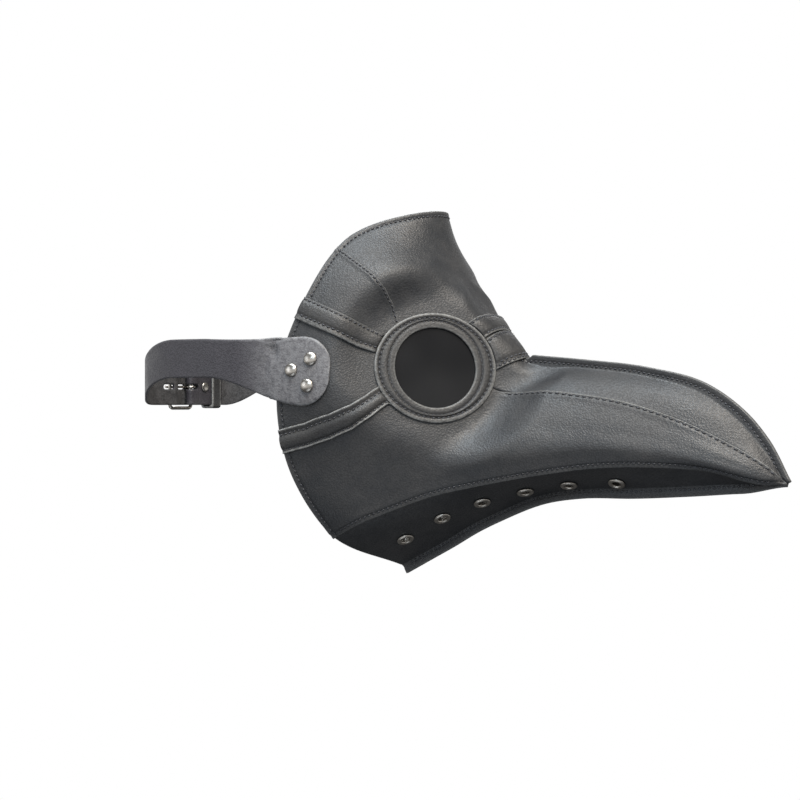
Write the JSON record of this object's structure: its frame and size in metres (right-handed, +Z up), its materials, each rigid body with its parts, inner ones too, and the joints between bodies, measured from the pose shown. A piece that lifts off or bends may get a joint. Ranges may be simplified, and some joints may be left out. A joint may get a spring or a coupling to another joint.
{
  "type": "plague doctor mask",
  "caption": "Long-beaked plague doctor mask of stitched black leather panels with round dark eye lenses, metal eyelets along the lower beak and a buckled head strap.",
  "frame": {"origin": "middle of the wearer's head at eye height, on the mask's plane of symmetry", "axes": "+X forward along the beak, +Y towards the wearer's left, +Z up"},
  "size_m": [0.4044, 0.1662, 0.212],
  "materials": {
    "leather": "black pebbled artificial leather, satin",
    "band_leather": "black pebbled artificial leather, satin",
    "strap_leather": "black artificial leather, slightly worn",
    "nickel": "bright nickel plate",
    "lens": "dark tinted acrylic, glossy",
    "backing": "matt black board"
  },
  "bodies": {
    "mask": {"forehead_panel": "leather", "bridge_band_upper": "band_leather", "bridge_band_lower": "band_leather", "temple_panel_right": "leather", "cheek_panel_right": "leather", "side_panel_right": "leather", "beak_top_panel_right": "leather", "beak_lower_panel_right": "leather", "brow_band_right": "band_leather", "cheek_band_right": "band_leather", "eye_ring_right": "band_leather", "lens_right": "lens", "lens_retainer_right": "backing", "strap_right": "strap_leather", "rivet_right_1": "nickel", "rivet_right_2": "nickel", "rivet_right_3": "nickel", "eyelet_right_1": "nickel", "eyelet_right_2": "nickel", "eyelet_right_3": "nickel", "eyelet_right_4": "nickel", "eyelet_right_5": "nickel", "eyelet_right_6": "nickel", "temple_panel_left": "leather", "cheek_panel_left": "leather", "side_panel_left": "leather", "beak_top_panel_left": "leather", "beak_lower_panel_left": "leather", "brow_band_left": "band_leather", "cheek_band_left": "band_leather", "eye_ring_left": "band_leather", "lens_left": "lens", "lens_retainer_left": "backing", "strap_left": "strap_leather", "rivet_left_1": "nickel", "rivet_left_2": "nickel", "rivet_left_3": "nickel", "eyelet_left_1": "nickel", "eyelet_left_2": "nickel", "eyelet_left_3": "nickel", "eyelet_left_4": "nickel", "eyelet_left_5": "nickel", "eyelet_left_6": "nickel", "rivet_fold": "nickel"},
    "buckle_frame": {"buckle_frame": "nickel"},
    "buckle_prong": {"buckle_prong": "nickel"},
    "keeper": {"strap_keeper": "band_leather"}
  },
  "joints": [
    {"name": "buckle_hinge", "type": "hinge", "parent": "mask", "child": "buckle_frame", "pos_m": [-0.09122, 0.02213, -0.01], "axis": [0, 0, -1], "range_deg": [0, 6]},
    {"name": "prong_hinge", "type": "hinge", "parent": "buckle_frame", "child": "buckle_prong", "pos_m": [-0.09122, 0.02213, -0.01], "axis": [0, 0, -1], "range_deg": [0, 2]},
    {"name": "keeper_slide", "type": "slide", "parent": "mask", "child": "keeper", "axis": [0.2349, 0.972, 0], "range_m": [-0.0015, 0.0035]}
  ]
}
